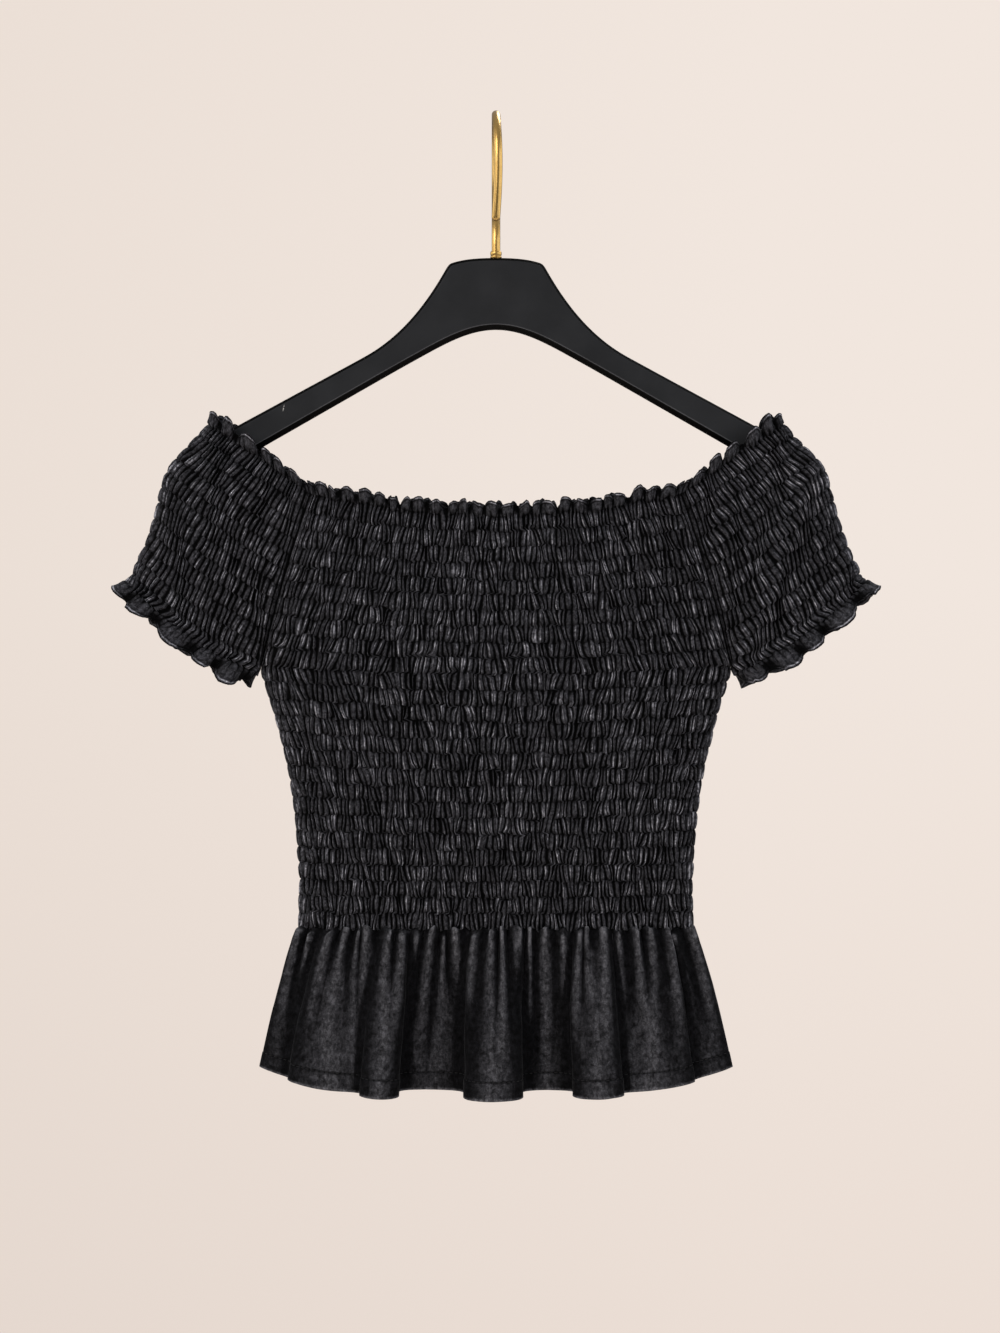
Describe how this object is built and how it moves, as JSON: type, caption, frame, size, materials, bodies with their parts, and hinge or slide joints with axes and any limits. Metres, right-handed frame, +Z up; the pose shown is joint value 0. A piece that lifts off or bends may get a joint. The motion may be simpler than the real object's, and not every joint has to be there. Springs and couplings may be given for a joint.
{
  "type": "off-shoulder top on a clothes hanger",
  "caption": "Off-shoulder top in black velour, shirred all over, with short sleeves, frilled edges and a gathered peplum, hung on a black shaped hanger with a brass wire hook.",
  "frame": {"origin": "the inside of the hook's crown, where a clothes rail bears", "axes": "+Z up, +X to the right as seen from the front, and the front faces -Y"},
  "size_m": [0.5324, 0.0794, 0.6893],
  "materials": {
    "velour": "washed black crushed velour",
    "black_lacquer": "matt black lacquer",
    "brass": "polished"
  },
  "bodies": {
    "root": {"bodice_front": "velour", "bodice_back": "velour", "sleeve_left": "velour", "sleeve_right": "velour", "peplum_front": "velour", "peplum_back": "velour", "hanger": "black_lacquer", "hanger_hook": "brass", "hook_ferrule": "brass"}
  },
  "joints": []
}
